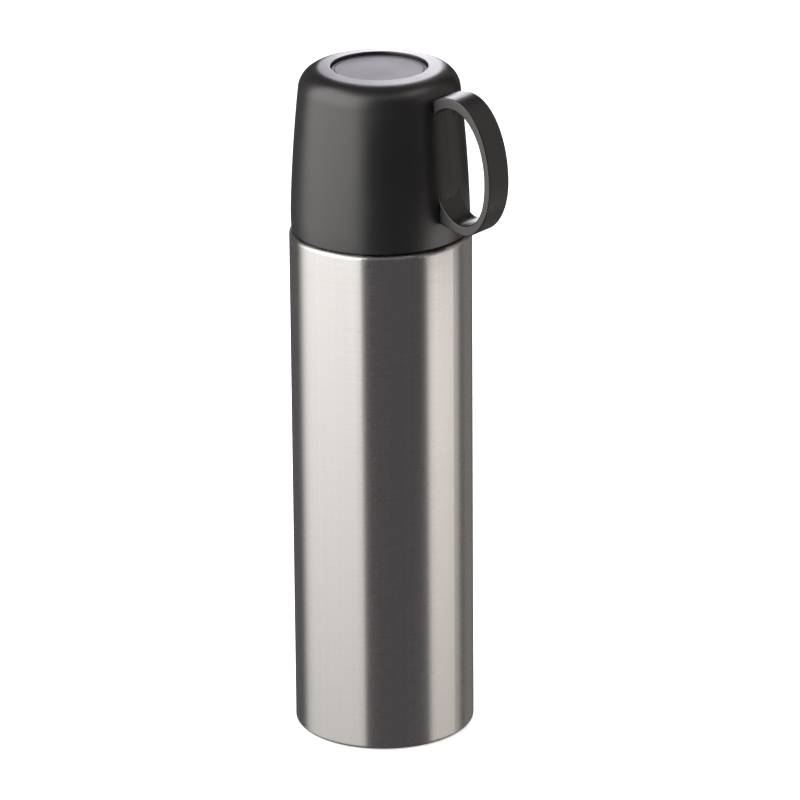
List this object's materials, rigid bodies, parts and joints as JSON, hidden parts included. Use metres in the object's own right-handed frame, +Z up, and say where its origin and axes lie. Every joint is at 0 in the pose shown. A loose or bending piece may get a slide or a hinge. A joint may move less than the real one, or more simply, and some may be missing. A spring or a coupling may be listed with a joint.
{
  "type": "vacuum flask",
  "caption": "Slim brushed-steel vacuum flask with a screw-on black drinking cup that has a loop handle, and a push-button pouring stopper under it.",
  "frame": {"origin": "middle of the base's underside, on the flask's axis, where it stands on a surface", "axes": "+Z up along the flask's axis towards the cup, +X towards the cup's handle"},
  "size_m": [0.0923, 0.07, 0.2676],
  "materials": {
    "brushed_steel": "brushed round the body, fine even grain",
    "bottle_steel": "drawn and electropolished",
    "foil": "bright rolled foil",
    "getter_alloy": "sintered, matt",
    "seal_glass": "fired solder glass",
    "base_rubber": "matt",
    "stopper_black": "satin, fine spark-eroded grain",
    "stopper_grey": "satin",
    "foam": "closed-cell foam",
    "silicone": "translucent white, satin",
    "button_grey": "satin",
    "spring_steel": "bright drawn wire and turned steel",
    "cup_black": "satin, very fine grain",
    "liner_grey": "smooth satin",
    "disc_black": "satin, finely pebbled"
  },
  "bodies": {
    "flask": {"outer_shell": "brushed_steel", "inner_bottle": "bottle_steel", "radiation_foil": "foil", "getter": "getter_alloy", "getter_clip": "bottle_steel", "base_plate": "bottle_steel", "vacuum_seal_bead": "seal_glass", "base_pad": "base_rubber"},
    "stopper_seal": {"stopper_gasket": "silicone"},
    "stopper": {"stopper_housing": "stopper_black", "stopper_core": "stopper_grey", "stopper_foam": "foam", "stopper_bottom_cap": "stopper_grey", "bottom_cap_o_ring": "silicone", "button_spring": "spring_steel", "release_spring": "spring_steel"},
    "pour_button": {"push_button": "button_grey", "valve_stem": "spring_steel", "valve_disc": "silicone", "valve_retainer": "spring_steel"},
    "release": {"release_tab": "button_grey"},
    "cup_seal": {"cup_gasket": "silicone"},
    "cup": {"cup_shell": "cup_black", "cup_handle": "cup_black", "cup_liner": "liner_grey", "cup_disc": "disc_black"}
  },
  "joints": [
    {"name": "stopper_rise", "type": "slide", "parent": "flask", "child": "stopper_seal", "axis": [0, 0, 1], "range_m": [0, 0.0401]},
    {"name": "stopper_turn", "type": "hinge", "parent": "stopper_seal", "child": "stopper", "pos_m": [0, 0, 0.2], "axis": [0, 0, 1], "range_deg": [0, 1800]},
    {"name": "button_press", "type": "slide", "parent": "stopper", "child": "pour_button", "axis": [0, 0, -1], "range_m": [0, 0.004], "stiffness_N_per_m": 600, "springref_m": -0.003, "deforming": ["button_spring"]},
    {"name": "release_press", "type": "slide", "parent": "stopper", "child": "release", "axis": [-1, 0, 0], "range_m": [0, 0.0014], "stiffness_N_per_m": 500, "springref_m": -0.001, "deforming": ["release_spring"]},
    {"name": "cup_rise", "type": "slide", "parent": "stopper", "child": "cup_seal", "axis": [0, 0, 1], "range_m": [0, 0.0401]},
    {"name": "cup_turn", "type": "hinge", "parent": "cup_seal", "child": "cup", "pos_m": [0, 0, 0.23], "axis": [0, 0, 1], "range_deg": [0, 1800]}
  ],
  "couplings": [
    {"joint": "stopper_rise", "follows": "stopper_turn", "m_per_rad": 0.0012732},
    {"joint": "cup_rise", "follows": "cup_turn", "m_per_rad": 0.0012732}
  ]
}
